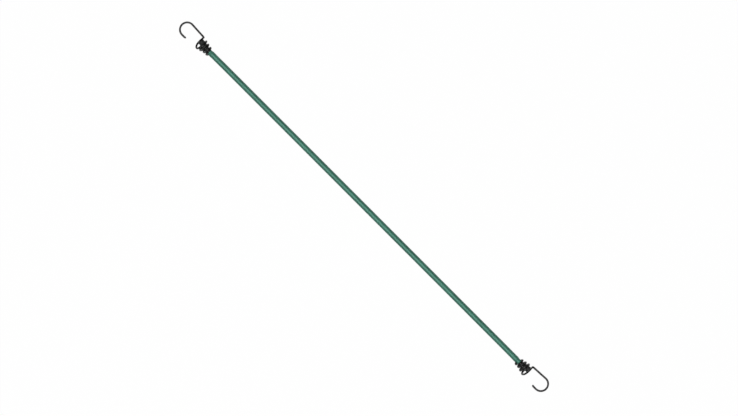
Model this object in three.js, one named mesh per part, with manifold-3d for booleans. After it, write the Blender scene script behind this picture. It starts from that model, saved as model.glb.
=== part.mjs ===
// A bungee cord: latex strands in a braided jacket, with a coiled wire hook on each end.
// Millimetres and degrees, +Z up. The cord lies along X on the surface z = 0, with its middle over the
// origin. Both hooks lie level and open towards -Y. End a is at -X and end b at +X.

import * as THREE from "three";
import { mergeVertices } from "three/addons/utils/BufferGeometryUtils.js";
import Module from "manifold-3d";

const wasm = await Module();
wasm.setup();

// Whole cord
const overallLength = 800; // over both hooks, relaxed
const cordDiameter = 8.3; // over the jacket, away from the hooks
const wireDiameter = 2.8; // over the hooks' coating
const clearance = 0.3; // between pieces that touch
const pressedClearance = 0.12; // between pieces that are crimped or gripped together

// Jacket and strands
const jacketWall = 0.68; // of the free braid
const pressedWall = 0.5; // of the braid inside a cap
const strandGap = 0.34; // between strands of the free cord
const strandRings = 2; // rings of strands round the middle one
const bulgeHeight = 0.2; // of the swelling just past a coil
const bulgeDistance = 4.8; // from a coil's end to the middle of that swelling
const straightRun = 9; // of cord past a coil, before it starts to sink
const gripRise = 0.7; // along which the jacket swells from the crimped end to the coil's grip

// Crimp band and cap on each end of the cord
const bandThickness = 0.5;
const bandLength = 6;
const bandSlit = 24; // degrees left open where the strip's ends meet
const capWall = 0.75; // round the crimp band, at the nose
const capNeckWall = 0.4; // round the jacket
const capEndWall = 3.1; // over the cord's cut end
const capLean = 6.5; // degrees that the cord's end leans in the loose coil, towards the shank

// Coil of a hook
const coilLength = 22.7; // along its axis, between centres of the wire
const firstTurnRoom = 3.55; // from the cap to the inside of the first turn
const standDepth = 0.5; // of the flat where the wire stands on the surface

// Bend, shank and tip of a hook
const bendRadius = 11.2; // of the wire's centreline
const shankLengthA = 26.1; // from the bend to the kink, on hook a
const shankLengthB = 26.6; // the same on hook b
const tipLength = 8.5; // from the bend to the outside of the tip
const tipTurnRadius = 1.9;
const tipTurnAngle = 60;
const kinkRadius = 3;
const endRounding = 0.75; // how far the wire's coated ends stand proud of the cut

// The coil as it is wound by hand: turns from the kink, share of its length, and share of its widening.
// The wire crosses above and below the cap nearly square to it, and moves on along the cord on the two sides
// between. It opens a loop beside the cap in its first turn.
const coilShares = [
  [0, 0.03, 1],
  [0.125, 0.025, 1],
  [0.25, 0.015, 1],
  [0.375, 0.07, 1],
  [0.5, 0.205, 0.97],
  [0.625, 0.295, 0.94],
  [0.75, 0.302, 0.8],
  [0.875, 0.308, 0.7],
  [1, 0.345, 0.62],
  [1.125, 0.385, 0.59],
  [1.25, 0.39, 0.59],
  [1.375, 0.405, 0.63],
  [1.5, 0.475, 0.6],
  [1.625, 0.545, 0.55],
  [1.75, 0.551, 0.46],
  [1.875, 0.556, 0.38],
  [2, 0.594, 0.31],
  [2.125, 0.645, 0.28],
  [2.25, 0.66, 0.3],
  [2.375, 0.675, 0.31],
  [2.5, 0.74, 0.21],
  [2.625, 0.808, 0.19],
  [2.75, 0.818, 0.14],
  [2.875, 0.825, 0.08],
  [3, 0.852, 0.04],
  [3.125, 0.905, 0.04],
  [3.25, 0.93, 0.1],
  [3.5, 0.975, 0.1],
  [3.62, 1.06, 0.13],
];
const capMouthShare = 0.872; // of the coil's length, at the cap's mouth
const bandPlaceShare = 0.44; // of the coil's length, from the cap's mouth to the band

// The cap's outside up to its nose, where it fills the coil: share of the coil's length from the kink, share
// of the way from the cap's radius at its mouth to its greatest, and share of the lean.
const capPlugShares = [
  [0.872, 0, 1],
  [0.775, 0.15, 0.5],
  [0.683, 0.33, 0.2],
  [0.595, 0.54, 0],
  [0.507, 0.88, 0],
  [0.42, 1, 0],
  [0.352, 0.97, 0.08],
  [0.287, 0.68, 0.6],
];
const capPlugRoomShare = 0.5; // of the coil's widening, where the cap is widest
const capNoseShare = 0.235; // of the coil's length, at the root of the nose
const capDomeDepth = 1.2; // of the rounding at the nose's end
const kinkTurnShare = 0.055; // of the first turn, taken up by the kink
const kinkHandleShare = 0.6; // of the kink's radius, along which it keeps the wire's direction on each side
const gripLoosenessShare = 0.35; // how far the strands spread inside the coil's last turn
const restSpacingShare = 2.6; // steps of the lying cord, in cord diameters

// The cord's way down from a hook: distance from the end of the straight run, and share of its height left.
const sinkingRun = [
  [0, 1],
  [14, 0.985],
  [28, 0.92],
  [43, 0.78],
  [58, 0.57],
  [73, 0.35],
  [88, 0.17],
  [104, 0.06],
  [120, 0.012],
  [138, 0],
];

// The rounded end of a cap's nose: share of its radius, and share of the rounding's depth left to the end.
const capDomeShares = [
  [1, 1],
  [0.95, 0.72],
  [0.78, 0.38],
  [0.45, 0.1],
];

const wireSides = 8;
const jacketSides = 12;
const strandSides = 6;
const capSides = 24;
const bendSteps = 17; // an odd number leaves a flat facet at the crown
const coilSteps = 74;

// Sizes that follow from each other, from the strands outwards
const wireRadius = wireDiameter / 2;
const cordRadius = cordDiameter / 2;
const facetShare = Math.cos(Math.PI / jacketSides);
const capFacetShare = Math.cos(Math.PI / capSides);
const jacketBore = cordRadius - jacketWall;
const strandRoom = jacketBore * facetShare - clearance - strandRings * strandGap;
const strandRadius = strandRoom / (2 * strandRings + 1);
const freePitch = 2 * strandRadius + strandGap;
const pressedPitch = 2 * strandRadius + pressedClearance;
const pressedBundle = strandRings * pressedPitch + strandRadius;
const pressedBore = (pressedBundle + pressedClearance) / facetShare;
const pressedRadius = pressedBore + pressedWall;
const bandBore = (pressedRadius + pressedClearance) / capFacetShare;
const bandRadius = bandBore + bandThickness;
const capNeckBore = (pressedRadius + pressedClearance) / capFacetShare;
const capNeckRadius = capNeckBore + capNeckWall;
const capBodyBore = (bandRadius + pressedClearance) / capFacetShare;
const capNoseRadius = capBodyBore + capWall;
const narrowInside = capNeckRadius + clearance;
const narrowTurnRadius = narrowInside + wireRadius;
const wideTurnRadius = capNoseRadius + firstTurnRoom + wireRadius;
const capPlugRoom = capPlugRoomShare * (wideTurnRadius - narrowTurnRadius);
const capPlugRadius = narrowTurnRadius + capPlugRoom - wireRadius - clearance;
const capMouth = capMouthShare * coilLength;
const leanPivot = capMouth + clearance;

// Distances from a cap's mouth towards its closed end
const bandPlace = bandPlaceShare * coilLength;
const cutEnd = bandPlace + bandLength + clearance;
const capLength = cutEnd + capEndWall;

const radians = THREE.MathUtils.degToRad;
const point = (x, y, z) => new THREE.Vector3(x, y, z);

// Geometry of a closed body from rings of equally many points, each ring joined to the next.
// A body with a bore has its last ring joined to its first, and any other is closed over both end rings.
function loft(rings, hasBore = false) {
  const sides = rings[0].length;
  const corners = rings.flat().flatMap((corner) => corner.toArray());
  const faces = [];
  const joins = hasBore ? rings.length : rings.length - 1;
  for (let row = 0; row < joins; row += 1) {
    const here = row * sides;
    const next = ((row + 1) % rings.length) * sides;
    for (let side = 0; side < sides; side += 1) {
      const after = (side + 1) % sides;
      faces.push(here + side, here + after, next + side);
      faces.push(here + after, next + after, next + side);
    }
  }
  if (!hasBore) {
    const last = (rings.length - 1) * sides;
    for (let side = 1; side < sides - 1; side += 1) {
      faces.push(0, side + 1, side);
      faces.push(last, last + side, last + side + 1);
    }
  }
  const geometry = new THREE.BufferGeometry();
  geometry.setAttribute("position", new THREE.Float32BufferAttribute(corners, 3));
  geometry.setIndex(faces);
  return geometry;
}

// A ring round a centre, with a flat side rather than a corner towards each axis of its plane.
function ring(centre, across, up, radius, sides) {
  return Array.from({ length: sides }, (_, side) => {
    const angle = (2 * Math.PI * (side + 0.5)) / sides;
    return centre
      .clone()
      .addScaledVector(across, radius * Math.cos(angle))
      .addScaledVector(up, radius * Math.sin(angle));
  });
}

// Unit tangents at the points of a path.
function tangentsOf(path) {
  return path.map((_, index) => {
    const before = path[Math.max(index - 1, 0)];
    const after = path[Math.min(index + 1, path.length - 1)];
    return after.clone().sub(before).normalize();
  });
}

// Points of an arc in the XY plane, from one angle to another, both included.
function arc(x, y, radius, from, to, steps) {
  return Array.from({ length: steps + 1 }, (_, step) => {
    const angle = radians(from + ((to - from) * step) / steps);
    return point(x + radius * Math.cos(angle), y + radius * Math.sin(angle), 0);
  });
}

// The coil's centreline from the kink to its narrow end, round the X axis and right-handed.
function coilPath() {
  const winding = new THREE.CatmullRomCurve3(coilShares.map((row) => point(...row)));
  const wound = winding.getSpacedPoints(coilSteps).filter((row) => row.x > kinkTurnShare);
  return wound.map((row) => {
    const angle = 2 * Math.PI * row.x;
    const radius = narrowTurnRadius + (wideTurnRadius - narrowTurnRadius) * row.z;
    return point(coilLength * row.y, radius * Math.cos(angle), radius * Math.sin(angle));
  });
}

// A hook's centreline from its tip to the coil's narrow end. The coil's axis is the X axis and the kink is
// at x = 0, the shank lies on +Y, and the coil's first turn climbs towards +Z.
function wirePath(shankLength) {
  const tipCentre = tipLength - wireRadius - tipTurnRadius - shankLength;
  const tipTurn = arc(tipCentre, tipTurnRadius - bendRadius, tipTurnRadius, tipTurnAngle - 90, -90, 5);
  const bend = arc(-shankLength, 0, bendRadius, 270, 90, bendSteps);
  const bendEnd = bend[bend.length - 1];
  const corner = point(0, wideTurnRadius, 0);
  const along = corner.clone().sub(bendEnd).normalize();
  const shankEnd = corner.clone().addScaledVector(along, -kinkRadius);
  const coil = coilPath();
  const into = coil[1].clone().sub(coil[0]).normalize();
  const handle = kinkHandleShare * kinkRadius;
  const kink = new THREE.CubicBezierCurve3(
    shankEnd,
    shankEnd.clone().addScaledVector(along, handle),
    coil[0].clone().addScaledVector(into, -handle),
    coil[0],
  ).getPoints(6);
  const shankMiddle = bendEnd.clone().lerp(shankEnd, 0.5);
  return [...tipTurn, ...bend, shankMiddle, ...kink, ...coil.slice(1)];
}

// A round wire along a path that starts in the XY plane, with both ends rounded over.
function wireGeometry(path) {
  const tangents = tangentsOf(path);
  const rings = [];
  let up = point(0, 0, 1);
  const roundedEnd = (centre, tangent, direction) =>
    [30, 60].map((angle) => {
      const ahead = direction * endRounding * Math.sin(radians(angle));
      const place = centre.clone().addScaledVector(tangent, ahead);
      return ring(place, up.clone().cross(tangent), up, wireRadius * Math.cos(radians(angle)), wireSides);
    });
  rings.push(...roundedEnd(path[0], tangents[0], -1).reverse());
  path.forEach((centre, index) => {
    const tangent = tangents[index];
    up = up.clone().addScaledVector(tangent, -up.dot(tangent)).normalize();
    rings.push(ring(centre, up.clone().cross(tangent), up, wireRadius, wireSides));
  });
  const last = path.length - 1;
  rings.push(...roundedEnd(path[last], tangents[last], 1));
  return loft(rings);
}

// The least gap between stretches of the wire that lie more than half a turn apart along it.
function leastGap(path) {
  let least = Infinity;
  const apart = coilSteps / (2 * coilShares[coilShares.length - 1][0]);
  path.forEach((here, index) => {
    for (const there of path.slice(Math.ceil(index + apart))) {
      least = Math.min(least, here.distanceTo(there) - wireDiameter);
    }
  });
  return least;
}

function toSolid(geometry) {
  const bare = geometry.clone();
  bare.deleteAttribute("normal");
  bare.deleteAttribute("uv");
  const merged = mergeVertices(bare);
  const vertProperties = merged.attributes.position.array;
  const triVerts = Uint32Array.from(merged.index.array);
  return new wasm.Manifold(new wasm.Mesh({ numProp: 3, vertProperties, triVerts }));
}

function toGeometry(solid) {
  const mesh = solid.getMesh();
  const geometry = new THREE.BufferGeometry();
  geometry.setAttribute("position", new THREE.BufferAttribute(mesh.vertProperties, 3));
  geometry.setIndex(new THREE.BufferAttribute(mesh.triVerts, 1));
  return geometry;
}

// How far a hook reaches from the coil's axis towards the surface, which is on the side -Z or +Z of it.
function reachOf(path, side) {
  return Math.max(...path.map((centre) => side * centre.z)) + wireRadius;
}

// The wire with everything beyond the surface cut away, on that side and at that distance from the axis.
function standingWire(path, side, distance) {
  const size = overallLength / 2;
  const below = new THREE.BoxGeometry(size, size, size);
  below.translate(0, 0, side * (distance + size / 2));
  return toGeometry(toSolid(wireGeometry(path)).subtract(toSolid(below)));
}

// The room in the cap for the cord's end, round the X axis. The cap is moulded over the crimped end, so the
// room follows the jacket and then the band. It reaches out past the cap's mouth, which is near x = 0.
function capRoomGeometry() {
  const outline = [
    [-cutEnd - clearance, capBodyBore],
    [clearance - bandPlace, capBodyBore],
    [clearance - bandPlace, capNeckBore],
    [capNeckRadius, capNeckBore],
  ];
  const across = point(0, 1, 0);
  const up = point(0, 0, 1);
  return loft(outline.map(([place, radius]) => ring(point(place, 0, 0), across, up, radius, capSides)));
}

// The cap, with the coil's axis as the X axis and the kink at x = 0: a plug that fills the narrow half of
// the coil, with a nose that leans with the cord's end.
function capGeometry(room) {
  const slope = Math.tan(radians(capLean));
  const capRing = (place, radius, leanShare) => {
    const centre = point(place, leanShare * slope * (leanPivot - place), 0);
    return ring(centre, point(0, 1, 0), point(0, 0, 1), radius, capSides);
  };
  const plug = capPlugShares.map(([place, swelling, leanShare]) => {
    const radius = THREE.MathUtils.lerp(capNeckRadius, capPlugRadius, swelling);
    return capRing(place * coilLength, radius, leanShare);
  });
  const nose = capDomeShares.map(([radius, depth]) => {
    return capRing(capMouth - capLength + depth * capDomeDepth, radius * capNoseRadius, 1);
  });
  const outside = loft([...plug, capRing(capNoseShare * coilLength, capNoseRadius, 1), ...nose].reverse());
  return toGeometry(toSolid(outside).subtract(toSolid(room)));
}

// The crimp band along X from x = 0: a strip bent to a ring, with a slit between its ends.
function bandGeometry() {
  const start = radians(bandSlit / 2);
  const end = 2 * Math.PI - start;
  const outline = new THREE.Shape();
  outline.absarc(0, 0, bandRadius, start, end, false);
  outline.absarc(0, 0, bandBore, end, start, true);
  const settings = { depth: bandLength, bevelEnabled: false, curveSegments: capSides };
  const geometry = new THREE.ExtrudeGeometry(outline, settings);
  geometry.rotateY(Math.PI / 2);
  return geometry;
}

// Places of the strands in the bundle's cross-section, in pitches: the middle one, then each ring round it.
function strandSpots() {
  const spots = [[0, 0]];
  for (let around = 1; around <= strandRings; around += 1) {
    for (let corner = 0; corner < 6; corner += 1) {
      const from = radians(60 * corner);
      const to = radians(60 * (corner + 1));
      for (let step = 0; step < around; step += 1) {
        const share = step / around;
        const across = around * ((1 - share) * Math.cos(from) + share * Math.cos(to));
        const up = around * ((1 - share) * Math.sin(from) + share * Math.sin(to));
        spots.push([across, up]);
      }
    }
  }
  return spots;
}

// One end of the cord, from its cut end to the surface: the centre of each section, how loosely the
// strands lie from 0 to 1, and the jacket's radius. The hook's kink is given, and its side, -1 or +1 of X.
function cordEnd(kink, side) {
  const place = (distance, sideways, height) => point(kink.x - side * distance, sideways, height);
  const lean = radians(capLean);
  const leaning = (distance) => {
    const back = distance * Math.cos(lean);
    return place(leanPivot - back, distance * Math.sin(lean), kink.z);
  };
  const sinkStart = coilLength + straightRun;
  const near = [
    [leanPivot, 0, pressedRadius],
    [leanPivot + gripRise, gripLoosenessShare, capNeckRadius],
    [coilLength + wireRadius, gripLoosenessShare, capNeckRadius],
    [coilLength + bulgeDistance, 1, cordRadius + bulgeHeight],
  ];
  return [
    { centre: leaning(cutEnd + clearance), looseness: 0, radius: pressedRadius },
    ...near.map(([distance, looseness, radius]) => {
      return { centre: place(distance, 0, kink.z), looseness, radius };
    }),
    ...sinkingRun.map(([distance, share]) => ({
      centre: place(sinkStart + distance, 0, cordRadius + share * (kink.z - cordRadius)),
      looseness: 1,
      radius: cordRadius,
    })),
  ];
}

// Sections of the whole cord from end a to end b. Those marked as lying are between the two ends' own.
function cordSections(kinkA, kinkB) {
  const endA = cordEnd(kinkA, -1);
  const endB = cordEnd(kinkB, 1).reverse();
  const from = endA[endA.length - 1].centre;
  const to = endB[0].centre;
  const steps = Math.round(from.distanceTo(to) / (restSpacingShare * cordDiameter));
  const lying = Array.from({ length: steps - 1 }, (_, step) => ({
    centre: from.clone().lerp(to, (step + 1) / steps),
    looseness: 1,
    radius: cordRadius,
    lying: true,
  }));
  const sections = [...endA, ...lying, ...endB];
  const tangents = tangentsOf(sections.map(({ centre }) => centre));
  return sections.map((section, index) => {
    const tangent = tangents[index];
    const up = point(0, 0, 1).addScaledVector(tangent, -tangent.z).normalize();
    return { ...section, up, across: up.clone().cross(tangent) };
  });
}

// The braided jacket, a tube whose bore and outside follow the strands.
function jacketGeometry(sections) {
  const outside = sections.map(({ centre, across, up, radius }) => {
    return ring(centre, across, up, radius, jacketSides);
  });
  const inside = sections.map(({ centre, across, up, looseness }) => {
    const bore = THREE.MathUtils.lerp(pressedBore, jacketBore, looseness);
    return ring(centre, across, up, bore, jacketSides);
  });
  return loft([...outside, ...inside.reverse()], true);
}

// One strand, at its spot in the bundle all along the cord.
function strandGeometry(sections, [acrossSpot, upSpot]) {
  const rings = sections.filter(({ lying }) => !lying).map(({ centre, across, up, looseness }) => {
    const pitch = THREE.MathUtils.lerp(pressedPitch, freePitch, looseness);
    const middle = centre.clone();
    middle.addScaledVector(across, pitch * acrossSpot);
    middle.addScaledVector(up, pitch * upSpot);
    return ring(middle, across, up, strandRadius, strandSides);
  });
  return loft(rings);
}

const blackCoat = () => new THREE.MeshStandardMaterial({ color: 0x1b1c1d, roughness: 0.38, metalness: 0.1 });
const greyPlastic = () => new THREE.MeshStandardMaterial({ color: 0x45484a, roughness: 0.6, metalness: 0 });
const greenBraid = () => new THREE.MeshStandardMaterial({ color: 0x4b8574, roughness: 0.85, metalness: 0 });
const paleLatex = () => new THREE.MeshStandardMaterial({ color: 0xd9c9a3, roughness: 0.7, metalness: 0 });
const plainSteel = () => new THREE.MeshStandardMaterial({ color: 0x9fa3a6, roughness: 0.35, metalness: 1 });

function named(name, geometry, material) {
  const mesh = new THREE.Mesh(geometry, material);
  mesh.name = name;
  return mesh;
}

// A hook with the cap and crimp band that lie in its coil. Its kink is on the coil's axis, at x = 0 of the
// end's own group, which is turned half round the Y axis for the end at +X.
function hookEnd(letter, side, shankLength) {
  const path = wirePath(shankLength);
  const distance = reachOf(path, side) - standDepth;
  const end = new THREE.Group();
  end.position.set(side * (overallLength / 2 - shankLength - bendRadius - wireRadius), 0, distance);
  end.rotation.y = side > 0 ? Math.PI : 0;
  end.add(named(`hook_${letter}`, standingWire(path, side, distance), blackCoat()));
  const leaning = new THREE.Matrix4().makeRotationZ(-radians(capLean));
  leaning.setPosition(leanPivot, 0, 0);
  leaning.multiply(new THREE.Matrix4().makeTranslation(-clearance, 0, 0));
  const cap = capGeometry(capRoomGeometry().applyMatrix4(leaning));
  const band = bandGeometry().translate(-bandPlace - bandLength, 0, 0).applyMatrix4(leaning);
  end.add(named(`end_cap_${letter}`, cap, greyPlastic()));
  end.add(named(`crimp_band_${letter}`, band, plainSteel()));
  return end;
}

const group = new THREE.Group();
const endA = hookEnd("a", -1, shankLengthA);
const endB = hookEnd("b", 1, shankLengthB);
const sections = cordSections(endA.position, endB.position);
group.add(endA, endB);
group.add(named("jacket", jacketGeometry(sections), greenBraid()));
strandSpots().forEach((spot, index) => {
  const number = String(index + 1).padStart(2, "0");
  group.add(named(`core_strand_${number}`, strandGeometry(sections, spot), paleLatex()));
});
console.log(`least gap between the coil's turns: ${leastGap(wirePath(shankLengthA)).toFixed(2)} mm`);

export default group;
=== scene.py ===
"""An elastic luggage cord with a coiled wire hook on each end, as a Blender add-on.

Metres, +Z up. The cord lies along X on the surface z = 0, with its middle over the origin. Both hooks lie
level and open towards -Y. End a is at -X and end b at +X.
"""

import math

import bpy
import numpy as np
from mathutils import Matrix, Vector


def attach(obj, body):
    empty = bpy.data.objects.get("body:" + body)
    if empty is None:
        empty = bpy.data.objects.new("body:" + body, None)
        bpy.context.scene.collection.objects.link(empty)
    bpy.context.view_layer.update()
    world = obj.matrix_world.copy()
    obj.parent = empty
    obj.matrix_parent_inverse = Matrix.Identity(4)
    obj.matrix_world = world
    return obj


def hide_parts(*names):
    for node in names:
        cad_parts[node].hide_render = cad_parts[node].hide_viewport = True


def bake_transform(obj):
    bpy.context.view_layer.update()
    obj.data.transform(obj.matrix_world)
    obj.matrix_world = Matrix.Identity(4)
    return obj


bl_info = {
    "name": "Bungee Cord",
    "version": (1, 0, 0),
    "blender": (4, 5, 0),
    "location": "View3D > Sidebar > Bungee Cord",
    "description": "Makes an elastic luggage cord with a coiled wire hook on each end",
    "category": "Add Mesh",
}

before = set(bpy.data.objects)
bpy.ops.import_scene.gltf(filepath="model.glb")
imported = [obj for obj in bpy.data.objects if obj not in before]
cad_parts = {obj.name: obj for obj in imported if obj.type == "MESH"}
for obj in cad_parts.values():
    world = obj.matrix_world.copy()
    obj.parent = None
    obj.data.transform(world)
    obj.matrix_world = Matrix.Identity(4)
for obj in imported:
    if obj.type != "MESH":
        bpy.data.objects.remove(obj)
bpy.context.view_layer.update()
MM = 0.001
UP = np.array([0.0, 0.0, 1.0])

# Cord: its jacket and the strands in it, free and pressed in the caps
CORD_DIAMETER = 8.3 * MM
PRESSED_RADIUS = 3.328 * MM  # over the jacket
JACKET_WALL, PRESSED_WALL = 0.68 * MM, 0.5 * MM
FREE_PITCH, PRESSED_PITCH = 1.287 * MM, 1.067 * MM  # between strands
STRAND_RINGS = 2  # round the middle strand
STRAND_SHARE = 0.47  # of the pitch that a strand's radius takes, so that strands nearly touch
GRIP_LOOSENESS = 0.35  # of the strands inside a coil's last turn, from 0 pressed to 1 free
LEAST_RELIEF = 0.3  # share of the yarns' relief left under a crimp band
SUNK_RELIEF = 0.3  # share of the yarns' relief inside the jacket's radius
ROW_SPACING = 0.55 * MM  # along the cord
FREE_REACH = 32 * MM  # from a cut end to where the cord is free and nearly straight

# Hooks: the kink's place on the coil's axis, the side of X, the shank's length, and the body of the cap
HOOK_ENDS = {
    "a": {"kink": (-0.3613, 0.0, 0.009909), "side": -1, "shank": 26.1 * MM, "body": "cord"},
    "b": {"kink": (0.3608, 0.0, 0.010617), "side": 1, "shank": 26.6 * MM, "body": "far_end"},
}
WIRE_DIAMETER = 2.8 * MM
BEND_RADIUS = 11.2 * MM
TIP_LENGTH = 8.5 * MM  # from the bend to the outside of the tip
TIP_TURN_RADIUS, TIP_TURN_ANGLE = 1.9 * MM, 60
KINK_RADIUS = 3 * MM
KINK_HANDLE = 1.8 * MM  # along which the kink keeps the wire's direction on each side
KINK_TURN = 0.055  # of the first turn, taken up by the kink
END_ROUNDING = 0.75 * MM  # how far the wire's coated ends stand out
COAT_WAVES = (3.1 * MM, 7.3 * MM, 1.7 * MM)  # along the wire, for one radian each
COIL_LENGTH = 22.7 * MM
NARROW_TURN_RADIUS, WIDE_TURN_RADIUS = 5.578 * MM, 9.833 * MM

# The coil as it is wound by hand: turns from the kink, share of its length, and share of its widening
COIL = np.array([
    (0, 0.03, 1), (0.125, 0.025, 1), (0.25, 0.015, 1), (0.375, 0.07, 1), (0.5, 0.205, 0.97),
    (0.625, 0.295, 0.94), (0.75, 0.302, 0.8), (0.875, 0.308, 0.7), (1, 0.345, 0.62), (1.125, 0.385, 0.59),
    (1.25, 0.39, 0.59), (1.375, 0.405, 0.63), (1.5, 0.475, 0.6), (1.625, 0.545, 0.55), (1.75, 0.551, 0.46),
    (1.875, 0.556, 0.38), (2, 0.594, 0.31), (2.125, 0.645, 0.28), (2.25, 0.66, 0.3), (2.375, 0.675, 0.31),
    (2.5, 0.74, 0.21), (2.625, 0.808, 0.19), (2.75, 0.818, 0.14), (2.875, 0.825, 0.08), (3, 0.852, 0.04),
    (3.125, 0.905, 0.04), (3.25, 0.93, 0.1), (3.5, 0.975, 0.1), (3.62, 1.06, 0.13),
])

# Caps: each leans in its coil about a pivot just past its mouth, and holds a crimp band and a cut end
CLEARANCE = 0.3 * MM
CAP_MOUTH_SHARE = 0.872  # of the coil's length from the kink
CAP_MOUTH = CAP_MOUTH_SHARE * COIL_LENGTH
CAP_PIVOT = CAP_MOUTH + CLEARANCE
CAP_LEAN = math.radians(6.5)
BAND_PLACE, CUT_END = 9.988 * MM, 16.288 * MM  # from the mouth along the lean
CAP_END_WALL = 3.1 * MM  # over the cut end
CAP_NECK_BORE, CAP_BODY_BORE = 3.478 * MM, 4.128 * MM
CAP_NECK_RADIUS, CAP_PLUG_RADIUS = 3.878 * MM, 6.006 * MM
CAP_NOSE = (0.235, 4.883 * MM, 1)  # share of the coil's length, radius, and share of the lean
CAP_DOME = 1.2 * MM  # depth of the rounding at the nose's end
RIDGE_WIDTH = 1.2  # of the parting line, in half steps between the points round the cap

# The cap's plug from its mouth: share of the coil's length, share of its widening, and share of the lean
CAP_PLUG = np.array([
    (CAP_MOUTH_SHARE, 0, 1), (0.775, 0.15, 0.5), (0.683, 0.33, 0.2), (0.595, 0.54, 0), (0.507, 0.88, 0),
    (0.42, 1, 0), (0.352, 0.97, 0.08), (0.287, 0.68, 0.6),
])

# The cord past a coil, in distances from the coil's end: where it swells, and where it starts to sink
GRIP_RISE = 0.7 * MM  # along which the jacket swells between the cap's pivot and the coil's grip
BULGE_PLACE, BULGE_HEIGHT = 4.8 * MM, 0.2 * MM
STRAIGHT_RUN = 9 * MM

# Its way down from there: distance, share of its height left, and how far aside it lies
SINKING_RUN = np.array([
    (0, 1, 0.02), (14, 0.985, 0.1), (28, 0.92, 0.16), (43, 0.78, 0.17), (58, 0.57, 0.17), (73, 0.35, 0.17),
    (88, 0.17, 0.17), (104, 0.06, 0.17), (120, 0.012, 0.17), (138, 0, 0.17),
]) * (MM, 1, MM)

# Stage: the floor lies just under the cord, and the picture's frame is measured at the height of the hooks
FLOOR_SIZE, FLOOR_GAP = 12.0, 0.1 * MM
FLOOR_GLOW = 1.065  # of its plain white, which makes up for the share that is lit
FRAME_WIDTH = 1.1424
FRAME_MIDDLE, HOOKS_HEIGHT = (6.81 * MM, 4.07 * MM), 10 * MM
CORD_ANGLE = math.radians(45.04)  # between the cord and the picture's long side
KEY_PLACE, KEY_SIZE = (0.15, -0.9, 9.0), 2.0
FILL_PLACE, FILL_SIZE = (0.0, -4.2, 4.0), 2.4


def smooth_through(knots, values, places):
    """Values at the places on a smooth curve through the knots.

    Between two knots it is the cubic whose slope at each is that of the parabola through three knots.
    """
    slopes = np.gradient(values, knots, axis=0)
    piece = np.clip(np.searchsorted(knots, places, side="right") - 1, 0, len(knots) - 2)
    width = (knots[piece + 1] - knots[piece])[:, None]
    share = ((places - knots[piece]) / width[:, 0])[:, None]
    start, end = values[piece], values[piece + 1]
    bow_start = share * (1 - share) ** 2 * width * slopes[piece]
    bow_end = share**2 * (share - 1) * width * slopes[piece + 1]
    return start + (end - start) * smooth_step(share) + bow_start + bow_end


def smooth_step(share):
    """Shares from 0 to 1 with a flat start and end: s * s * (3 - 2 s)."""
    return share * share * (3 - 2 * share)


def unit(vectors):
    """The vectors at length 1."""
    return vectors / np.linalg.norm(vectors, axis=-1, keepdims=True)


def distances(path):
    """How far along the path each of its points is."""
    steps = np.linalg.norm(np.diff(path, axis=0), axis=1)
    return np.concatenate([[0], np.cumsum(steps)])


def cross_axes(path, reference):
    """Two unit vectors across the path at each point: the cross product of up and the tangent, and up, which
    is the part of the reference that is across the path."""
    tangents = unit(np.gradient(path, distances(path), axis=0))
    up = unit(reference - tangents * np.sum(reference * tangents, axis=1, keepdims=True))
    return np.cross(up, tangents), up


def tube(path, across, up, radii, sides):
    """Rings round a path: centre + radius * (cos a * across + sin a * up), for angles a all round.

    The radii are one for each ring, or one for each point of each ring.
    """
    angles = np.arange(sides) * 2 * np.pi / sides
    radii = radii.reshape(len(path), -1, 1)
    turning = np.cos(angles)[None, :, None] * across[:, None] + np.sin(angles)[None, :, None] * up[:, None]
    return path[:, None] + radii * turning


def surface(name, grid, along, joined=False):
    """A mesh object from a grid of points: copies, rows and columns. Each row closes on itself.

    The last row joins the first where the tube has a bore. Otherwise a fan to its own middle closes each end
    row. The UV map holds the share round the row, and the row's own place, which is given from 0 to 1.
    """
    copies, rows, columns, _ = grid.shape
    row = np.arange(rows if joined else rows - 1)[:, None]
    column = np.arange(columns)[None, :]
    after, right = (row + 1) % rows, (column + 1) % columns
    start, end = row * columns, after * columns
    corners = [start + column, start + right, end + right, end + column]
    faces = [np.stack(np.broadcast_arrays(*corners), -1).reshape(-1, 4)]
    here, next_to = column + 0 * row, column + 1 + 0 * row
    turns = np.stack([here, next_to, next_to, here], -1) / columns
    before, behind = along[row] + 0 * column, along[after] + 0 * column
    places = np.stack([before, before, behind, behind], -1)
    maps = [np.stack([turns, places], -1).reshape(-1, 4, 2)]
    points = grid.reshape(copies, rows * columns, 3)
    if not joined:
        points = np.concatenate([points, grid[:, :1].mean(axis=2), grid[:, -1:].mean(axis=2)], axis=1)
        edge, last, middle = column[0], (rows - 1) * columns, rows * columns
        beside = (edge + 1) % columns
        faces.append(np.stack([beside, edge, np.full(columns, middle)], -1))
        faces.append(np.stack([last + edge, last + beside, np.full(columns, middle + 1)], -1))
        for order, place in (((1, 0, 0.5), along[0]), ((0, 1, 0.5), along[-1])):
            share = (edge[:, None] + np.array(order)) / columns
            maps.append(np.stack([share, np.full_like(share, place)], -1))
    count = points.shape[1]
    shift = (np.arange(copies) * count)[:, None, None]
    faces = [(shape[None] + shift).reshape(-1, shape.shape[1]) for shape in faces]
    maps = [np.tile(shape, (copies, 1, 1)) for shape in maps]
    points = points.reshape(-1, 3)
    first, second, third = (points[faces[0][:, corner]] for corner in (0, 1, 2))
    if np.sum(np.cross(first, second) * third) < 0:  # the faces point inwards
        faces = [shape[:, ::-1] for shape in faces]
        maps = [shape[:, ::-1] for shape in maps]
    return mesh_object(name, points, faces, maps)


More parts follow.
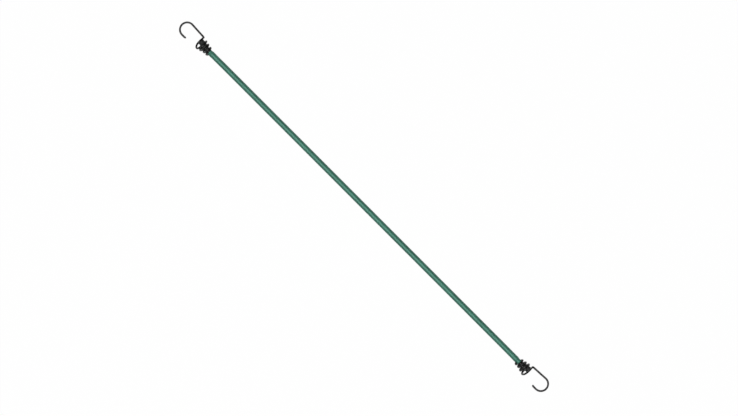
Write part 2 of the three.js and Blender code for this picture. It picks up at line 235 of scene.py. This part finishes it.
def mesh_object(name, points, faces, maps):
    """A smooth-shaded object at the origin from points, arrays of faces, and the faces' UV places."""
    mesh = bpy.data.meshes.new(name)
    mesh.vertices.add(len(points))
    mesh.vertices.foreach_set("co", points.astype(np.float32).ravel())
    corners = np.concatenate([shape.ravel() for shape in faces])
    mesh.loops.add(len(corners))
    mesh.loops.foreach_set("vertex_index", corners.astype(np.int32))
    sizes = np.concatenate([np.full(len(shape), shape.shape[1]) for shape in faces])
    mesh.polygons.add(len(sizes))
    mesh.polygons.foreach_set("loop_start", (np.cumsum(sizes) - sizes).astype(np.int32))
    wrap = mesh.uv_layers.new(name="wrap")
    wrap.uv.foreach_set("vector", np.concatenate([shape.ravel() for shape in maps]).astype(np.float32))
    mesh.update(calc_edges=True)
    mesh.validate()
    mesh.shade_smooth()
    made = bpy.data.objects.new(name, mesh)
    bpy.context.scene.collection.objects.link(made)
    return made


def end_knots(end):
    """Knots of the cord's route at one end, from its cut end to where it lies: place, radius over the jacket,
    and looseness of the strands.

    Along the cord they are measured from the hook's kink. In the cap the cord leans: a knot d from the pivot
    is at pivot - d * cos(lean), and d * sin(lean) aside.
    """
    kink, _, height = end["kink"]
    radius = CORD_DIAMETER / 2
    leaning = [
        (CAP_PIVOT - back * math.cos(CAP_LEAN), back * math.sin(CAP_LEAN), height, PRESSED_RADIUS, 0)
        for back in (CUT_END + CLEARANCE, 1 * MM, 0)
    ]
    gripped = [
        (place, 0, height, CAP_NECK_RADIUS, GRIP_LOOSENESS)
        for place in (CAP_PIVOT + GRIP_RISE, COIL_LENGTH + WIRE_DIAMETER / 2)
    ]
    bulge = [(COIL_LENGTH + BULGE_PLACE, 0, height, radius + BULGE_HEIGHT, 1)]
    sinking = [
        (COIL_LENGTH + STRAIGHT_RUN + place, aside, radius + share * (height - radius), radius, 1)
        for place, share, aside in SINKING_RUN
    ]
    knots = np.array(leaning + gripped + bulge + sinking)
    knots[:, 0] = kink - end["side"] * knots[:, 0]
    return knots


def route_knots():
    """Knots of the whole route from end a to end b, to the micrometre, with three more where it lies."""
    radius, aside = CORD_DIAMETER / 2, SINKING_RUN[-1, 2]
    lying = [(place, aside, radius, radius, 1) for place in (-100 * MM, 0, 100 * MM)]
    from_a, from_b = (end_knots(end) for end in HOOK_ENDS.values())
    return np.round(np.concatenate([from_a, lying, from_b[::-1]]), 6)


def route_rows():
    """The cord's route at even steps: centres, radii, looseness, and the share of its length at each row.

    Centres and radii are smooth through the knots, but a radius stays between those of the knots beside it.
    """
    route = route_knots()
    knots = distances(route[:, :3])
    places = np.linspace(0, knots[-1], int(knots[-1] / ROW_SPACING))
    rows = smooth_through(knots, route, places)
    piece = np.clip(np.searchsorted(knots, places, side="right") - 1, 0, len(knots) - 2)
    beside = np.stack([route[piece, 3], route[piece + 1, 3]])
    radii = np.clip(rows[:, 3], beside.min(axis=0), beside.max(axis=0))
    looseness = np.interp(places, knots, route[:, 4])
    return rows[:, :3], radii, looseness, places / knots[-1]


def spare_rows(path, close, wide):
    """The rows of the cord's path that a plain tube needs: one in close near its ends, where it bends and
    narrows in the caps, and one in wide between."""
    places, index = distances(path), np.arange(len(path))
    near = np.minimum(places, places[-1] - places) < FREE_REACH
    keep = index % np.where(near, close, wide) == 0
    keep[-1] = True
    return index[keep]


def braid_height(turn, picks, carriers):
    """Height of a braid's surface from 0 to 1, where turn is the share round the cord and picks the place
    along it.

    Yarns wind both ways: one family has p = carriers * turn + picks, the other q = carriers * turn - picks.
    Each yarn is round across, and rises and sinks as a cosine along, over two yarns and under two. The
    higher family shows.
    """
    p, q = carriers * turn + picks, carriers * turn - picks
    own_p, own_q = np.floor(p), np.floor(q)
    round_p = np.sqrt(np.clip(1 - (2 * (p - own_p) - 1) ** 2, 0, 1))
    round_q = np.sqrt(np.clip(1 - (2 * (q - own_q) - 1) ** 2, 0, 1))
    rise_p = np.cos(np.pi / 2 * (q + own_p - 1))
    rise_q = np.cos(np.pi / 2 * (p + own_q - 3))
    return np.clip(np.maximum(0.5 * round_p + 0.5 * rise_p, 0.5 * round_q + 0.5 * rise_q), 0, 1)


def strand_spots():
    """Places of the strands across the bundle, in pitches: the middle one, then hexagons round it."""
    spots = [(0.0, 0.0)]
    for hexagon in range(1, STRAND_RINGS + 1):
        turns = np.arange(6 * hexagon) / (6 * hexagon)
        corners = hexagon * np.exp(2j * np.pi * np.arange(7) / 6)
        side = np.interp(turns, np.arange(7) / 6, corners)
        spots += [(spot.real, spot.imag) for spot in side]
    return np.array(spots)


def arc(x, y, radius, start, end, count):
    """Points (x + radius * cos a, y + radius * sin a) of an arc, from one angle to another in degrees."""
    angles = np.radians(np.linspace(start, end, count))
    return np.stack([x + radius * np.cos(angles), y + radius * np.sin(angles), 0 * angles], -1)


def wire_path(shank):
    """A hook's centreline from its tip to the coil's narrow end, and a reference across it.

    The coil's axis is the X axis and the kink is at x = 0. The tip's turn and the bend are arcs, the shank
    is straight, the kink is a cubic between two handles, and the coil is (length * share, r cos a, r sin a)
    for a = turns * 360 degrees.
    """
    tip_x = TIP_LENGTH - WIRE_DIAMETER / 2 - TIP_TURN_RADIUS - shank
    tip = arc(tip_x, TIP_TURN_RADIUS - BEND_RADIUS, TIP_TURN_RADIUS, TIP_TURN_ANGLE - 90, -90, count=16)
    bend = arc(-shank, 0, BEND_RADIUS, 270, 90, count=110)
    corner = np.array([0, WIDE_TURN_RADIUS, 0])
    heading = unit(corner - bend[-1])
    shank_end = corner - heading * KINK_RADIUS
    turns = np.linspace(KINK_TURN, COIL[-1, 0], 300)
    wound = smooth_through(COIL[:, 0], COIL[:, 1:], turns)
    radii = NARROW_TURN_RADIUS + (WIDE_TURN_RADIUS - NARROW_TURN_RADIUS) * wound[:, 1]
    angles = 2 * np.pi * turns
    coil = np.stack([COIL_LENGTH * wound[:, 0], radii * np.cos(angles), radii * np.sin(angles)], -1)
    ahead = unit(coil[1] - coil[0])
    handles = np.stack([shank_end, shank_end + heading * KINK_HANDLE, coil[0] - ahead * KINK_HANDLE, coil[0]])
    share = np.linspace(0, 1, 20)[:, None]
    left = 1 - share
    kink = np.hstack([left**3, 3 * share * left**2, 3 * share**2 * left, share**3]) @ handles
    straight_tip = np.linspace(tip[-1], bend[0], 10)[1:-1]
    straight_shank = np.linspace(bend[-1], shank_end, 30)[1:-1]
    flat = np.concatenate([tip, straight_tip, bend, straight_shank])
    path = np.concatenate([flat, kink, coil[1:]])
    turned = np.concatenate([np.zeros(len(flat)), share[:, 0], np.ones(len(coil) - 1)])[:, None]
    return path, (1 - turned) * UP + turned * np.array([-1, 0, 0])


def coat_waves(place, phase):
    """Unevenness of the coating along the wire, from -1 to 1: the mean of three sines, one with a phase."""
    long, longer, short = COAT_WAVES
    return (np.sin(place / long + phase) + np.sin(place / longer) + np.sin(place / short)) / 3


def rounded_end(centre, heading, across, up, radius, sides):
    """Rings that round the wire's end, outwards: a ring is depth * sin a further out, and its radius shrinks
    with cos a."""
    angles = np.radians([20, 40, 60, 78])
    centres = centre + heading * (END_ROUNDING * np.sin(angles))[:, None]
    count = len(angles)
    return tube(centres, np.tile(across, (count, 1)), np.tile(up, (count, 1)), radius * np.cos(angles), sides)


def cap_grid(parting_line, sides):
    """The points of a cap in its hook's own frame, from the back of its room, out at its mouth and over its
    outside to the nose's end.

    Its outside is rings across X on a line that leans by share * tan(lean) about the pivot. The dome on the
    nose is (depth * sin a, radius * cos a), and the parting line is a bell curve round the ring, twice. The
    room leans as a whole.
    """
    knots = np.arange(len(CAP_PLUG) + 1, dtype=float)
    plug = CAP_PLUG.copy()
    plug[:, 1] = CAP_NECK_RADIUS + (CAP_PLUG_RADIUS - CAP_NECK_RADIUS) * plug[:, 1]
    plug = smooth_through(knots, np.vstack([plug, CAP_NOSE]), np.linspace(0, knots[-1], 70))
    plug[:, 0] *= COIL_LENGTH
    nose_end = CAP_MOUTH - CUT_END - CAP_END_WALL
    angles = np.radians(np.linspace(0, 88, 14))
    dome = [nose_end + CAP_DOME * (1 - np.sin(angles)), CAP_NOSE[1] * np.cos(angles), np.ones(len(angles))]
    outside = np.concatenate([plug, np.stack(dome, -1)])
    aside = outside[:, 2] * math.tan(CAP_LEAN) * (CAP_PIVOT - outside[:, 0])
    centres = np.stack([outside[:, 0], aside, 0 * aside], -1)
    across, up = np.tile([0.0, 1.0, 0.0], (len(centres), 1)), np.tile(UP, (len(centres), 1))
    from_seam = (np.arange(sides) / sides * 2) % 1 - 0.5  # in half turns
    ridge = parting_line * np.exp(-((from_seam * sides / RIDGE_WIDTH) ** 2))
    shell = tube(centres, across, up, outside[:, 1:2] + ridge, sides)
    shoulder, back = -BAND_PLACE, -CUT_END - 2 * CLEARANCE
    # place along the lean and radius: past the mouth, a neck, a step out at the shoulder, and a closed back
    room = np.array([
        (-0.05 * MM, CAP_NECK_BORE), (shoulder + 0.3 * MM, CAP_NECK_BORE), (shoulder, CAP_NECK_BORE),
        (shoulder - 0.002 * MM, CAP_BODY_BORE), (back, CAP_BODY_BORE), (back, 0.02 * MM),
    ])
    line = np.stack([room[:, 0], 0 * room[:, 0], 0 * room[:, 0]], -1)
    bore = tube(line, across[: len(room)], up[: len(room)], room[:, 1], sides)
    cosine, sine = math.cos(CAP_LEAN), math.sin(CAP_LEAN)
    bore = bore @ np.array([(cosine, -sine, 0), (sine, cosine, 0), (0, 0, 1)]) + np.array([CAP_PIVOT, 0, 0])
    bore[0, :, 0] = CAP_MOUTH
    return np.concatenate([bore[::-1], shell])


def place_end(points, end):
    """Points of a hook's own frame at its end of the cord: the end at +X is turned half round Y."""
    return points * np.array([-end["side"], 1, -end["side"]]) + np.array(end["kink"])


def fresh(name):
    """Removes the piece of that name, if it is there from an earlier run."""
    old = bpy.data.objects.get(name)
    if old is not None:
        bpy.data.objects.remove(old)


# Materials


class Graph:
    """A material's nodes, where a value in a call is a number, a colour or another node's output."""

    def __init__(self, name):
        self.material = bpy.data.materials.get(name) or bpy.data.materials.new(name)
        self.material.use_nodes = True
        self.tree = self.material.node_tree
        self.tree.nodes.clear()
        self.output = self.tree.nodes.new("ShaderNodeOutputMaterial")

    def add(self, kind, settings=None, **sockets):
        """A new node with its settings and its inputs, which are named or counted, as in in0."""
        made = self.tree.nodes.new("ShaderNode" + kind)
        for key, value in (settings or {}).items():
            setattr(made, key, value)
        for key, value in sockets.items():
            counted = key.startswith("in") and key[2:].isdigit()
            socket = made.inputs[int(key[2:]) if counted else key.replace("_", " ")]
            if isinstance(value, bpy.types.NodeSocket):
                self.tree.links.new(value, socket)
            else:
                socket.default_value = value
        return made

    def math(self, operation, *values):
        """The output of a Math node."""
        sockets = {f"in{index}": value for index, value in enumerate(values)}
        return self.add("Math", {"operation": operation}, **sockets).outputs[0]

    def ramp(self, factor, *stops):
        """The colour at the factor between stops, each a place and a colour."""
        made = self.add("ValToRGB", Fac=factor)
        elements = made.color_ramp.elements
        while len(elements) < len(stops):
            elements.new(0.5)
        for element, (place, colour) in zip(elements, stops):
            element.position = place
            element.color = (*colour, 1)
        return made.outputs[0]

    def scale(self, value, share):
        """The value times a share."""
        return self.math("MULTIPLY", value, share)

    def vary(self, value, change, share):
        """The value plus a share of the change's distance from one half."""
        return self.math("ADD", value, self.scale(self.math("SUBTRACT", change, 0.5), share))

    def mix(self, factor, first, second):
        """Two colours mixed."""
        return self.add("Mix", {"data_type": "RGBA"}, in0=factor, in6=first, in7=second).outputs[2]

    def place(self, *shares):
        """The place on the object, stretched by shares of its scale."""
        place = self.add("TexCoord").outputs["Object"]
        return self.add("Mapping", Vector=place, Scale=shares).outputs[0] if shares else place

    def noise(self, vector, scale, detail=4, roughness=0.6):
        """Noise from 0 to 1 at a scale per metre."""
        return self.add("TexNoise", Vector=vector, Scale=scale, Detail=detail, Roughness=roughness).outputs[0]

    def bump(self, height, distance, strength=1.0, normal=None):
        """A normal bent by a height, which is the given distance at 1."""
        made = self.add("Bump", Height=height, Distance=distance, Strength=strength)
        if normal is not None:
            self.tree.links.new(normal, made.inputs["Normal"])
        return made.outputs[0]

    def finish(self, **sockets):
        """Ends the material with a Principled shader of these inputs."""
        shader = self.add("BsdfPrincipled", **sockets)
        self.tree.links.new(shader.outputs[0], self.output.inputs["Surface"])
        return self.material


def tone(colour, share):
    """A colour made lighter or darker."""
    return tuple(channel * share for channel in colour[:3])


def braid_material(settings):
    """Braided polyester: each yarn is round, with plies along it and its own slight tint. Its colour carries
    a painted highlight on each yarn's back and painted shade in the gap beside it. Its yarns are those of
    braid_height."""
    graph = Graph("green_braid")
    place = graph.add("SeparateXYZ", Vector=graph.add("UVMap", {"uv_map": "wrap"}).outputs[0])
    turn = graph.scale(place.outputs[0], settings.carriers)
    picks = graph.scale(place.outputs[1], settings.picks)
    p, q = graph.math("ADD", turn, picks), graph.math("SUBTRACT", turn, picks)
    families = []
    for own, other, phase in ((p, q, 1), (q, p, 3)):
        index = graph.math("FLOOR", own)
        across = graph.math("SUBTRACT", graph.math("FRACT", own), 0.5)
        wide = graph.scale(across, 2)
        rounded = graph.math("SQRT", graph.math("SUBTRACT", 1, graph.math("MULTIPLY", wide, wide)))
        angle = graph.scale(graph.math("SUBTRACT", graph.math("ADD", other, index), phase), math.pi / 2)
        height = graph.scale(graph.math("ADD", rounded, graph.math("COSINE", angle)), 0.5)
        families.append((height, across, other, index))
    (height_p, across_p, along_p, index_p), (height_q, across_q, along_q, index_q) = families
    shows = graph.math("GREATER_THAN", height_q, height_p)

    def shown(first, second):
        """The value of the family that shows."""
        return graph.add("Mix", {"data_type": "FLOAT"}, in0=shows, in2=first, in3=second).outputs[0]

    height = graph.math("MAXIMUM", height_p, height_q)
    across, along = shown(across_p, across_q), shown(along_p, along_q)
    index = shown(index_p, graph.math("ADD", index_q, 17.3))  # no yarn of one family is like one of the other
    yarn = graph.add("CombineXYZ", X=graph.scale(across, 9), Y=graph.scale(along, 0.8), Z=index)
    fibres = graph.noise(yarn.outputs[0], scale=2.4, detail=3)
    stitch = graph.add("CombineXYZ", X=index_p, Y=index_q, Z=shows)
    tint = graph.add("TexWhiteNoise", {"noise_dimensions": "3D"}, Vector=stitch.outputs[0]).outputs[0]
    plies = graph.math("COSINE", graph.scale(across, 2 * math.pi * settings.plies))
    patches = graph.noise(graph.place(), scale=70, detail=2)
    # painted shade and highlight: the colour follows the yarns' height, darker where they sink and lighter on
    # their backs
    painted_light_and_tone = height
    for change, share in ((fibres, 0.35), (tint, 0.16), (patches, 0.5)):
        painted_light_and_tone = graph.vary(painted_light_and_tone, change, share)
    # painted shade between the plies: the cosine across each yarn also darkens its grooves a little
    painted_light_and_tone = graph.math("ADD", painted_light_and_tone, graph.scale(plies, 0.03))
    base = settings.braid_colour
    # from painted shade at 0.3 of the braid's colour in the gaps to a painted highlight at 1.35 of it on the
    # crowns
    stops = ((0.15, 0.3), (0.55, 0.78), (0.8, 1.05), (1, 1.35))
    colour = graph.ramp(painted_light_and_tone, *((stop, tone(base, share)) for stop, share in stops))
    fine = graph.math("ADD", graph.scale(fibres, 0.6), graph.scale(plies, 0.3))
    relief = graph.bump(graph.math("ADD", height, fine), distance=0.06 * MM)
    return graph.finish(
        Base_Color=colour, Roughness=0.45, Normal=relief, Specular_IOR_Level=0.75,
        Specular_Tint=(*settings.gloss_colour, 1),
    )


def latex_material(settings):
    """Natural latex: pale, with powder in patches and fine grooves along the strand."""
    graph = Graph("latex")
    place = graph.add("UVMap", {"uv_map": "wrap"}).outputs[0]
    grooves = graph.noise(graph.add("Mapping", Vector=place, Scale=(24, 3, 1)).outputs[0], scale=3, detail=3)
    powder = graph.noise(graph.place(), scale=900, detail=5)
    base = settings.latex_colour
    colour = graph.ramp(powder, (0.3, tone(base, 0.75)), (0.55, tone(base, 1)), (0.75, tone(base, 1.15)))
    return graph.finish(Base_Color=colour, Roughness=0.6, Normal=graph.bump(grooves, distance=0.05 * MM))


def coat_material(settings):
    """A dipped black coating: semi-gloss, slightly uneven, rubbed dull and grey in spots."""
    graph = Graph("coated_wire")
    place = graph.place()
    flow = graph.noise(place, scale=260, detail=3)
    grain = graph.noise(place, scale=3200)
    scuffs = graph.noise(graph.place(1, 1.6, 3), scale=520, detail=6, roughness=0.7)
    worn = graph.ramp(scuffs, (0.6, (0, 0, 0)), (0.72, (1, 1, 1)))
    base = settings.coat_colour
    plain = graph.ramp(grain, (0.35, tone(base, 0.8)), (0.7, tone(base, 1.25)))
    colour = graph.mix(graph.scale(worn, 0.35), plain, (*tone(base, 4), 1))
    rough = graph.math("ADD", graph.scale(worn, 0.2), graph.math("ADD", 0.27, graph.scale(flow, 0.16)))
    swell = graph.bump(flow, distance=0.12 * MM, strength=0.5)
    relief = graph.bump(grain, distance=0.012 * MM, strength=0.7, normal=swell)
    return graph.finish(Base_Color=colour, Roughness=rough, Normal=relief, Specular_IOR_Level=0.25)


def cap_material(settings):
    """Moulded plastic: a fine grain from the mould, faint flow marks and lighter rubbed spots."""
    graph = Graph("cap_plastic")
    place = graph.place()
    grain = graph.noise(place, scale=4200, detail=3)
    flow = graph.noise(graph.place(0.35, 1, 1), scale=300)
    spots = graph.noise(place, scale=700, detail=6, roughness=0.7)
    rubbed = graph.ramp(spots, (0.58, (0, 0, 0)), (0.75, (1, 1, 1)))
    base = settings.cap_colour
    plain = graph.ramp(flow, (0.3, tone(base, 0.82)), (0.7, tone(base, 1.2)))
    colour = graph.mix(graph.scale(rubbed, 0.4), plain, (*tone(base, 1.9), 1))
    relief = graph.bump(grain, distance=0.02 * MM, strength=0.8)
    return graph.finish(Base_Color=colour, Roughness=0.55, Normal=relief, Specular_IOR_Level=0.25)


def band_material(settings):
    """Zinc-plated strip: lengthwise rolling lines and a faint grey bloom."""
    graph = Graph("band_steel")
    lines = graph.noise(graph.place(12, 1, 1), scale=900)
    bloom = graph.noise(graph.place(), scale=500, detail=5)
    base = settings.band_colour
    colour = graph.ramp(bloom, (0.35, tone(base, 0.8)), (0.65, tone(base, 1.1)))
    rough = graph.math("ADD", 0.28, graph.scale(lines, 0.2))
    relief = graph.bump(lines, distance=0.01 * MM)
    return graph.finish(Base_Color=colour, Metallic=1.0, Roughness=rough, Normal=relief)


def white_material(settings):
    """The floor: white to camera, glossy and transmission rays, and a plain pale surface to the light. A
    share of that surface shows too, so it keeps the object's soft shadow."""
    graph = Graph("white_floor")
    pale = graph.add("BsdfDiffuse", Color=(*settings.floor_colour, 1))
    white = graph.add("Emission", Color=(1, 1, 1, 1), Strength=FLOOR_GLOW)
    rays = graph.add("LightPath").outputs
    reflected = graph.math("MAXIMUM", rays["Is Glossy Ray"], rays["Is Transmission Ray"])
    seen = graph.math("MAXIMUM", rays["Is Camera Ray"], reflected)
    share = graph.scale(seen, settings.whiteness)
    shader = graph.add("MixShader", in0=share, in1=pale.outputs[0], in2=white.outputs[0])
    graph.tree.links.new(shader.outputs[0], graph.output.inputs["Surface"])
    return graph.material


# Sizes and colours


def length_property(name, description, default):
    """A length in metres."""
    return bpy.props.FloatProperty(
        name=name, description=description, default=default, min=0, precision=5, subtype="DISTANCE",
        unit="LENGTH",
    )


def colour_property(name, description, default):
    """A linear colour."""
    return bpy.props.FloatVectorProperty(
        name=name, description=description, default=default, min=0, max=1, size=3, subtype="COLOR"
    )


def power_property(name, description, default):
    """A lamp's power in watts."""
    return bpy.props.FloatProperty(name=name, description=description, default=default, min=0, unit="POWER")


class BungeeCordSettings(bpy.types.PropertyGroup):
    """Sizes and colours of the cord."""

    carriers: bpy.props.IntProperty(
        name="Carriers", description="Yarns of the braid each way, an even number", default=12, min=4
    )
    picks: bpy.props.IntProperty(
        name="Picks", description="Crossings of the yarns along the whole cord", default=256, min=10
    )
    plies: bpy.props.IntProperty(name="Plies", description="Plies side by side in a yarn", default=3, min=1)
    yarn_depth: length_property("Yarn Depth", "Depth of the gaps between the yarns", 0.34 * MM)
    fullness: length_property("Fullness", "How far the free braid stands out of the cord", 0.22 * MM)
    braid_colour: colour_property("Braid", "Colour of the braided jacket", (0.036, 0.135, 0.096))
    gloss_colour: colour_property("Gloss", "Colour of the filaments' gloss", (0.5, 1.0, 0.82))
    latex_colour: colour_property("Latex", "Colour of the strands inside the jacket", (0.66, 0.55, 0.34))


class BungeeHookSettings(bpy.types.PropertyGroup):
    """Sizes and colours of the hooks, caps and crimp bands."""

    wire_diameter: length_property("Wire", "Diameter of the wire", WIRE_DIAMETER)
    coat_thickness: length_property("Coating", "Thickness of the dipped coating", 0.11 * MM)
    coat_unevenness: length_property("Unevenness", "How much the coating's thickness varies", 0.06 * MM)
    parting_line: length_property("Parting Line", "Height of the cap's parting line", 0.07 * MM)
    coat_colour: colour_property("Coating Colour", "Colour of the hooks' coating", (0.003, 0.0032, 0.0034))
    cap_colour: colour_property("Cap", "Colour of the moulded caps", (0.014, 0.0155, 0.0155))
    band_colour: colour_property("Band", "Colour of the crimp bands", (0.55, 0.56, 0.58))


class BungeeStageSettings(bpy.types.PropertyGroup):
    """The floor, the lamps and the camera."""

    floor_colour: colour_property("Floor", "Colour of the floor", (0.35, 0.35, 0.35))
    whiteness: bpy.props.FloatProperty(
        name="Whiteness", description="Share of plain white in the floor that the camera sees",
        default=0.9, min=0, max=1, subtype="FACTOR",
    )
    key_power: power_property("Key Lamp", "Power of the lamp above the cord", 760)
    fill_power: power_property("Fill Lamp", "Power of the lamp on the side of -Y", 20)
    sky: bpy.props.FloatProperty(
        name="Sky", description="Strength of the light from all round", default=0.06, min=0
    )


# Pieces


class BUNGEE_OT_jacket(bpy.types.Operator):
    """Make the braided jacket along the cord's route"""

    bl_idname = "bungee.jacket"
    bl_label = "Braided Jacket"

    def execute(self, context):
        settings = context.scene.bungee_cord
        fresh("braided_jacket")
        columns = 72
        path, radii, looseness, along = route_rows()
        across, up = cross_axes(path, UP)
        turn = np.arange(columns)[None, :] / columns
        height = braid_height(turn, (along * settings.picks)[:, None], settings.carriers)
        flattened = np.clip(looseness / GRIP_LOOSENESS, LEAST_RELIEF, 1)[:, None]  # under the crimp band
        free = np.clip((looseness - GRIP_LOOSENESS) / (1 - GRIP_LOOSENESS), 0, 1)[:, None]  # past the coil
        relief = settings.yarn_depth * flattened * (height - SUNK_RELIEF) + settings.fullness * free**2
        outside = tube(path, across, up, radii[:, None] + relief, columns)
        outside[..., 2] = np.maximum(outside[..., 2], 0)  # where the cord rests
        wall = PRESSED_WALL + (JACKET_WALL - PRESSED_WALL) * looseness
        inner = spare_rows(path, close=3, wide=36)[::-1]
        bore = tube(path[inner], across[inner], up[inner], (radii - wall)[inner], columns)
        grid = np.concatenate([outside, bore])[None]
        jacket = surface("braided_jacket", grid, np.concatenate([along, along[inner]]), joined=True)
        jacket.data.materials.append(braid_material(settings))
        ends = [tuple(place.tolist()) for place in route_knots()[[0, -1], :3]]
        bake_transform(jacket)
        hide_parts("jacket")
        return {"FINISHED"}


class BUNGEE_OT_strands(bpy.types.Operator):
    """Make the latex strands inside the jacket"""

    bl_idname = "bungee.strands"
    bl_label = "Core Strands"

    def execute(self, context):
        settings = context.scene.bungee_cord
        fresh("core_strands")
        path, _, looseness, along = route_rows()
        across, up = cross_axes(path, UP)
        kept = spare_rows(path, close=3, wide=16)
        path, across, up, looseness, along = (rows[kept] for rows in (path, across, up, looseness, along))
        pitch = PRESSED_PITCH + (FREE_PITCH - PRESSED_PITCH) * looseness
        grids = [
            tube(path + pitch[:, None] * (x * across + y * up), across, up, STRAND_SHARE * pitch, sides=12)
            for x, y in strand_spots()
        ]
        strands = surface("core_strands", np.array(grids), along)
        strands.data.materials.append(latex_material(settings))
        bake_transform(strands)
        nodes = [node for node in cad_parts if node.startswith("core_strand")]
        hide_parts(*nodes)
        return {"FINISHED"}


class BUNGEE_OT_hooks(bpy.types.Operator):
    """Make the two coiled wire hooks"""

    bl_idname = "bungee.hooks"
    bl_label = "Wire Hooks"

    def execute(self, context):
        settings = context.scene.bungee_hook
        sides = 28
        for letter, end in HOOK_ENDS.items():
            fresh(f"wire_hook_{letter}")
            path, reference = wire_path(end["shank"])
            across, up = cross_axes(path, reference)
            uneven = settings.coat_unevenness * coat_waves(distances(path), end["side"])
            radii = settings.wire_diameter / 2 + settings.coat_thickness + uneven
            tip = rounded_end(path[0], unit(path[0] - path[1]), across[0], up[0], radii[0], sides)
            tail = rounded_end(path[-1], unit(path[-1] - path[-2]), across[-1], up[-1], radii[-1], sides)
            wire = tube(path, across, up, radii, sides)
            grid = place_end(np.concatenate([tip[::-1], wire, tail]), end)
            grid[..., 2] = np.maximum(grid[..., 2], 0)  # where the coil stands
            hook = surface(f"wire_hook_{letter}", grid[None], np.linspace(0, 1, len(grid)))
            hook.data.materials.append(coat_material(settings))
            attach(hook, f"hook_{letter}")
            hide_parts(f"hook_{letter}")
        return {"FINISHED"}


class BUNGEE_OT_caps(bpy.types.Operator):
    """Make the moulded cap in each hook's coil"""

    bl_idname = "bungee.caps"
    bl_label = "End Caps"

    def execute(self, context):
        settings = context.scene.bungee_hook
        grid = cap_grid(settings.parting_line, sides=72)
        for letter, end in HOOK_ENDS.items():
            fresh(f"moulded_cap_{letter}")
            placed = place_end(grid, end)
            cap = surface(f"moulded_cap_{letter}", placed[None], np.linspace(0, 1, len(grid)))
            cap.data.materials.append(cap_material(settings))
            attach(cap, end["body"])
            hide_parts(f"end_cap_{letter}")
        return {"FINISHED"}


class BUNGEE_OT_bands(bpy.types.Operator):
    """Give the crimp bands their steel"""

    bl_idname = "bungee.bands"
    bl_label = "Crimp Bands"

    def execute(self, context):
        steel = band_material(context.scene.bungee_hook)
        for letter in HOOK_ENDS:
            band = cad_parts[f"crimp_band_{letter}"]
            band.data.materials.clear()
            band.data.materials.append(steel)
        return {"FINISHED"}


class BUNGEE_OT_stage(bpy.types.Operator):
    """Make the floor, the lamps and the camera above the cord"""

    bl_idname = "bungee.stage"
    bl_label = "Stage"

    def execute(self, context):
        settings = context.scene.bungee_stage
        scene = context.scene
        fresh("floor")
        corners = np.array([[(0, 0), (1, 0), (1, 1), (0, 1)]])
        points = np.hstack([FLOOR_SIZE * (corners[0] - 0.5), np.full((4, 1), -FLOOR_GAP)])
        floor = mesh_object("floor", points, [np.array([[0, 1, 2, 3]])], [corners])
        floor.data.materials.append(white_material(settings))
        lamps = (
            ("key", KEY_PLACE, KEY_SIZE, settings.key_power),
            ("fill", FILL_PLACE, FILL_SIZE, settings.fill_power),
        )
        for name, place, size, power in lamps:
            fresh(name)
            lamp = bpy.data.lights.new(name, "AREA")
            lamp.energy, lamp.size = power, size
            made = bpy.data.objects.new(name, lamp)
            scene.collection.objects.link(made)
            made.location = place
            made.rotation_euler = Vector(place).to_track_quat("Z", "Y").to_euler()
        world = bpy.data.worlds.get("studio") or bpy.data.worlds.new("studio")
        world.use_nodes = True
        tree = world.node_tree
        tree.nodes.clear()
        rays = tree.nodes.new("ShaderNodeLightPath")
        strength = tree.nodes.new("ShaderNodeMapRange")
        background = tree.nodes.new("ShaderNodeBackground")
        output = tree.nodes.new("ShaderNodeOutputWorld")
        strength.inputs["To Min"].default_value = settings.sky
        strength.inputs["To Max"].default_value = 1.0
        tree.links.new(rays.outputs["Is Camera Ray"], strength.inputs["Value"])
        tree.links.new(strength.outputs[0], background.inputs["Strength"])
        background.inputs["Color"].default_value = (1, 1, 1, 1)
        tree.links.new(background.outputs[0], output.inputs["Surface"])
        scene.world = world
        fresh("camera")
        lens = bpy.data.cameras.new("camera")
        lens.lens, lens.sensor_width = 500, 36
        camera = bpy.data.objects.new("camera", lens)
        scene.collection.objects.link(camera)
        distance = FRAME_WIDTH * lens.lens / lens.sensor_width
        camera.location = (*FRAME_MIDDLE, HOOKS_HEIGHT + distance)
        camera.rotation_euler = (0, 0, CORD_ANGLE)
        lens.clip_start, lens.clip_end = 0.1, 100
        scene.camera = camera
        scene.view_settings.view_transform = "Standard"
        return {"FINISHED"}


class BUNGEE_PT_panel(bpy.types.Panel):
    """Lists the pieces in the sidebar"""

    bl_idname = "BUNGEE_PT_panel"
    bl_label = "Bungee Cord"
    bl_space_type = "VIEW_3D"
    bl_region_type = "UI"
    bl_category = "Bungee Cord"

    def draw(self, context):
        layout = self.layout
        for step in STEPS:
            layout.operator(step.bl_idname)
        for name, kind in GROUPS.items():
            box = layout.box()
            for key in kind.__annotations__:
                box.prop(getattr(context.scene, name), key)


STEPS = (
    BUNGEE_OT_stage, BUNGEE_OT_strands, BUNGEE_OT_jacket, BUNGEE_OT_hooks, BUNGEE_OT_caps, BUNGEE_OT_bands,
)
GROUPS = {
    "bungee_cord": BungeeCordSettings,
    "bungee_hook": BungeeHookSettings,
    "bungee_stage": BungeeStageSettings,
}


def register():
    """Adds the settings, operators and panel."""
    for kind in (*GROUPS.values(), *STEPS, BUNGEE_PT_panel):
        bpy.utils.register_class(kind)
    for name, kind in GROUPS.items():
        setattr(bpy.types.Scene, name, bpy.props.PointerProperty(type=kind))


def unregister():
    """Takes the settings, operators and panel away."""
    for name in GROUPS:
        delattr(bpy.types.Scene, name)
    for kind in (BUNGEE_PT_panel, *reversed(STEPS), *reversed(list(GROUPS.values()))):
        bpy.utils.unregister_class(kind)


def main():
    """Makes every piece in order."""
    register()
    bpy.ops.bungee.stage()
    bpy.ops.bungee.strands()
    bpy.ops.bungee.jacket()
    bpy.ops.bungee.hooks()
    bpy.ops.bungee.caps()
    bpy.ops.bungee.bands()


if __name__ == "__main__":
    main()
